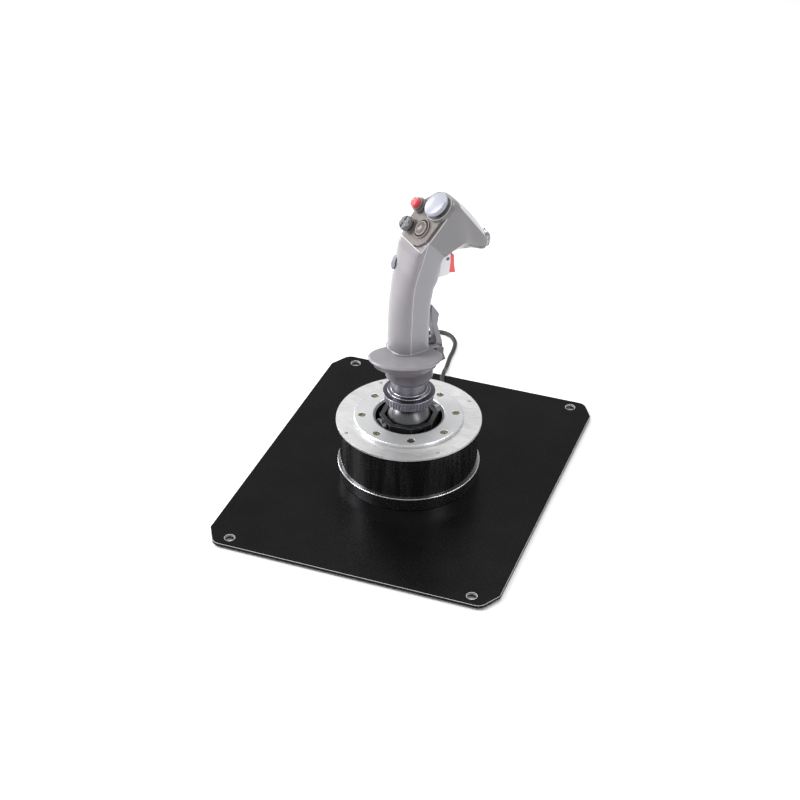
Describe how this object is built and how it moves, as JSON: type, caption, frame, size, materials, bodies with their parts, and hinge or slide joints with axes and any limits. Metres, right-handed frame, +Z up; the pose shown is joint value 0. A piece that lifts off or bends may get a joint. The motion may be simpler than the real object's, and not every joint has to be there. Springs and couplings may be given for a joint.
{
  "type": "flight joystick",
  "caption": "Desktop flight joystick: drilled desk plate, round gimballed base with a knurled locking ring, and a tall pistol grip with hats, buttons, a trigger and a pinkie lever.",
  "frame": {"origin": "on the floor, under the middle of the desk plate", "axes": "+X to the plate's right, +Y away from the user along the plate's longer side, +Z up; the grip's forward direction is turned 42.75 degrees clockwise from +Y, seen from above"},
  "size_m": [0.25, 0.3758, 0.2655],
  "materials": {
    "black_plate": "satin powder coat",
    "rubber": "matt",
    "black_steel": "satin",
    "chromed_ring": "satin",
    "gloss_black": "gloss",
    "satin_aluminium": "satin",
    "bright_aluminium": "satin",
    "brass": "satin",
    "matt_black": "matt",
    "dark_aluminium": "satin",
    "bearing_steel": "polished",
    "magnet": "satin",
    "circuit_board": "satin",
    "cord_rubber": "satin",
    "tie_strap": "woven",
    "dark_chrome": "polished",
    "dark_plastic": "satin",
    "socket_beige": "satin",
    "thread_metal": "satin",
    "shelf_grey": "satin",
    "grip_rear_grey": "satin",
    "grip_front_grey": "satin",
    "panel_brown": "satin",
    "bezel_grey": "satin",
    "housing_white": "satin",
    "knurled_steel": "knurled",
    "coral_red": "satin",
    "hat_lavender": "satin",
    "hat_dark": "satin"
  },
  "bodies": {
    "base": {"base_plate": "black_plate", "rubber_feet": "rubber", "plate_screws": "black_steel", "skirt_ring": "chromed_ring", "barrel_housing": "gloss_black", "top_flange": "satin_aluminium", "cover_ring": "bright_aluminium", "cover_ring_screws": "brass", "aperture_lip": "matt_black", "gimbal_bracket": "dark_aluminium", "roll_bearings": "bearing_steel", "magnet_carrier": "dark_aluminium", "centring_magnet": "magnet", "sensor_board": "circuit_board", "main_board": "circuit_board", "cable_gland": "cord_rubber", "usb_cord": "cord_rubber", "usb_cord_tail": "cord_rubber", "cord_coil": "cord_rubber", "cord_tie": "tie_strap", "usb_plug": "cord_rubber"},
    "gimbal": {"gimbal_ring": "matt_black", "roll_pins": "bearing_steel", "pitch_bearings": "bearing_steel"},
    "stick": {"ball_dome": "dark_chrome", "stick_spindle": "bearing_steel", "pitch_pins": "bearing_steel", "moving_magnet": "magnet", "connector_plate": "dark_plastic", "din_socket": "socket_beige", "grip_neck": "thread_metal", "grip_cone": "dark_plastic", "palm_shelf": "shelf_grey", "shelf_screws": "black_steel", "grip_rear_shell": "grip_rear_grey", "grip_front_shell": "grip_front_grey", "face_panel": "panel_brown", "trim_hat_bezel": "bezel_grey", "hat_switches": "matt_black", "side_hat_pod": "bezel_grey", "horn_bezel": "thread_metal", "trigger_housing": "housing_white", "trigger_pin": "bearing_steel", "lever_pin": "bearing_steel", "grip_board": "circuit_board", "trigger_spring": "bearing_steel"},
    "locking_ring": {"locking_ring": "knurled_steel"},
    "trigger": {"trigger": "coral_red"},
    "pinkie_lever": {"pinkie_lever": "shelf_grey"},
    "weapon_button": {"weapon_button": "coral_red"},
    "horn_button": {"horn_button": "thread_metal"},
    "trim_hat": {"trim_hat": "hat_lavender"},
    "trim_hat_pivot": {"trim_hat_pivot": "bearing_steel"},
    "castle_hat": {"castle_hat": "hat_dark"},
    "castle_hat_pivot": {"castle_hat_pivot": "bearing_steel"},
    "thumb_hat": {"thumb_hat": "panel_brown"},
    "thumb_hat_pivot": {"thumb_hat_pivot": "bearing_steel"},
    "side_hat": {"side_hat": "hat_lavender"},
    "side_hat_pivot": {"side_hat_pivot": "bearing_steel"}
  },
  "joints": [
    {"name": "roll", "type": "hinge", "parent": "base", "child": "gimbal", "pos_m": [0, 0, 0.0585], "axis": [0.6788, 0.7343, 0], "range_deg": [-20, 20], "stiffness_Nm_per_rad": 0.6},
    {"name": "pitch", "type": "hinge", "parent": "gimbal", "child": "stick", "pos_m": [0, 0, 0.0585], "axis": [0.7343, -0.6788, 0], "range_deg": [-20, 20], "stiffness_Nm_per_rad": 0.6},
    {"name": "locking_ring_turn", "type": "hinge", "parent": "stick", "child": "locking_ring", "pos_m": [0, 0, 0.0815], "axis": [0, 0, 1], "continuous": true},
    {"name": "trigger_pull", "type": "hinge", "parent": "stick", "child": "trigger", "pos_m": [0.02036, 0.02203, 0.2079], "axis": [-0.7343, 0.6788, 0], "range_deg": [0, 10], "stiffness_Nm_per_rad": 0.05, "deforming": ["trigger_spring"]},
    {"name": "pinkie_lever_squeeze", "type": "hinge", "parent": "stick", "child": "pinkie_lever", "pos_m": [0.01629, 0.01762, 0.1235], "axis": [0.7343, -0.6788, 0], "range_deg": [0, 7], "stiffness_Nm_per_rad": 0.08},
    {"name": "weapon_button_press", "type": "slide", "parent": "stick", "child": "weapon_button", "axis": [0.52, 0.5625, -0.6428], "range_m": [0, 0.0015], "stiffness_N_per_m": 400},
    {"name": "horn_button_press", "type": "slide", "parent": "stick", "child": "horn_button", "axis": [-0.6788, -0.7343, 0], "range_m": [0, 0.0015], "stiffness_N_per_m": 400},
    {"name": "trim_hat_up_down", "type": "hinge", "parent": "stick", "child": "trim_hat_pivot", "pos_m": [0.02223, 0.0158, 0.24984], "axis": [0.7343, -0.6788, 0], "range_deg": [-8, 8], "stiffness_Nm_per_rad": 0.02},
    {"name": "trim_hat_left_right", "type": "hinge", "parent": "trim_hat_pivot", "child": "trim_hat", "pos_m": [0.02223, 0.0158, 0.24984], "axis": [0.5123, 0.5542, 0.6561], "range_deg": [-8, 8], "stiffness_Nm_per_rad": 0.02},
    {"name": "castle_hat_up_down", "type": "hinge", "parent": "stick", "child": "castle_hat_pivot", "pos_m": [-0.00127, 0.01557, 0.23056], "axis": [0.7343, -0.6788, 0], "range_deg": [-8, 8], "stiffness_Nm_per_rad": 0.02},
    {"name": "castle_hat_left_right", "type": "hinge", "parent": "castle_hat_pivot", "child": "castle_hat", "pos_m": [-0.00127, 0.01557, 0.23056], "axis": [0.4363, 0.472, 0.766], "range_deg": [-8, 8], "stiffness_Nm_per_rad": 0.02},
    {"name": "thumb_hat_up_down", "type": "hinge", "parent": "stick", "child": "thumb_hat_pivot", "pos_m": [0.01094, 0.0083, 0.23409], "axis": [0.7343, -0.6788, 0], "range_deg": [-5, 5], "stiffness_Nm_per_rad": 0.02},
    {"name": "thumb_hat_left_right", "type": "hinge", "parent": "thumb_hat_pivot", "child": "thumb_hat", "pos_m": [0.01094, 0.0083, 0.23409], "axis": [0.4363, 0.472, 0.766], "range_deg": [-5, 5], "stiffness_Nm_per_rad": 0.02},
    {"name": "side_hat_up_down", "type": "hinge", "parent": "stick", "child": "side_hat_pivot", "pos_m": [-0.009, 0.00702, 0.2015], "axis": [0, 0, -1], "range_deg": [-8, 8], "stiffness_Nm_per_rad": 0.02},
    {"name": "side_hat_left_right", "type": "hinge", "parent": "side_hat_pivot", "child": "side_hat", "pos_m": [-0.009, 0.00702, 0.2015], "axis": [-0.048, -0.9988, 0], "range_deg": [-8, 8], "stiffness_Nm_per_rad": 0.02}
  ]
}
